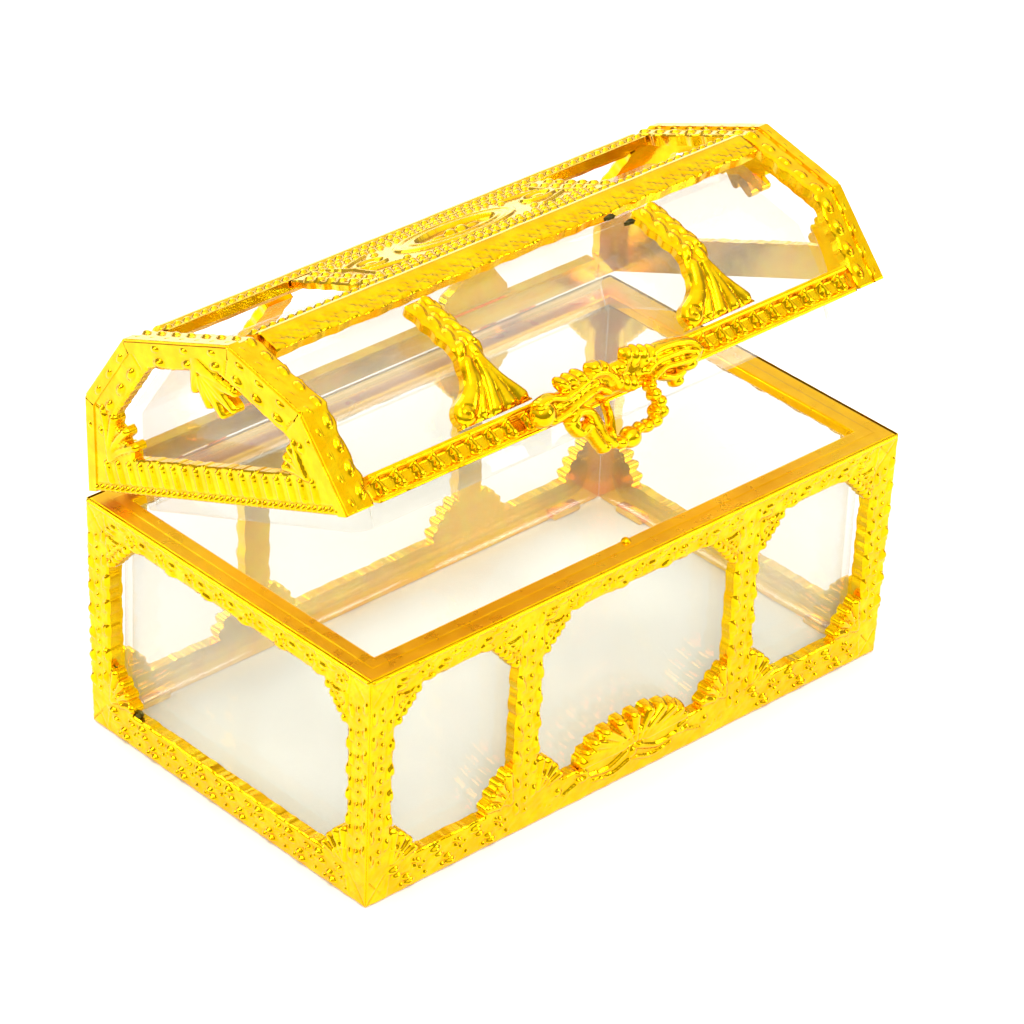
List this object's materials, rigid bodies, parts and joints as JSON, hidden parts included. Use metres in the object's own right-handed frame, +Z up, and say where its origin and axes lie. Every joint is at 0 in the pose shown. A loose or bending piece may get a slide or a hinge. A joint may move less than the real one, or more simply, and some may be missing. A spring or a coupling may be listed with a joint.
{
  "type": "ornamental keepsake chest",
  "caption": "Small hinged chest with gilt openwork frames, a clear moulded tray, a clear domed lid shell and a lock-shaped ornament.",
  "frame": {"origin": "middle of the base's underside, on the clear tray's floor", "axes": "+X along the chest to the right as seen from the front, -Y towards the front with the lock, +Z up"},
  "size_m": [0.095, 0.06, 0.0703],
  "materials": {
    "gilt": "bright yellow vacuum plating over embossed moulded plastic",
    "pin": "plain plated wire",
    "clear": "polished clear moulded polystyrene, about 1 mm thick"
  },
  "bodies": {
    "base": {"base_front_wall": "gilt", "base_crest": "gilt", "base_rear_wall": "gilt", "base_left_wall": "gilt", "base_right_wall": "gilt", "base_rim": "gilt", "base_clear_tray": "clear", "hinge_pin_left": "pin", "hinge_pin_right": "pin"},
    "lid": {"lid_left_end": "gilt", "lid_right_end": "gilt", "lid_front_rib_left": "gilt", "lid_front_rib_right": "gilt", "lid_rear_rib_left": "gilt", "lid_rear_rib_right": "gilt", "lid_front_rail": "gilt", "lid_rear_rail": "gilt", "lid_front_ridge": "gilt", "lid_rear_ridge": "gilt", "lid_top_panel": "gilt", "lid_lock": "gilt", "lid_clear_dome": "clear"}
  },
  "joints": [
    {"name": "lid_hinge", "type": "hinge", "parent": "base", "child": "lid", "pos_m": [0, 0.03, 0.0351], "axis": [-1, 0, 0], "range_deg": [-21.9, 73]}
  ]
}
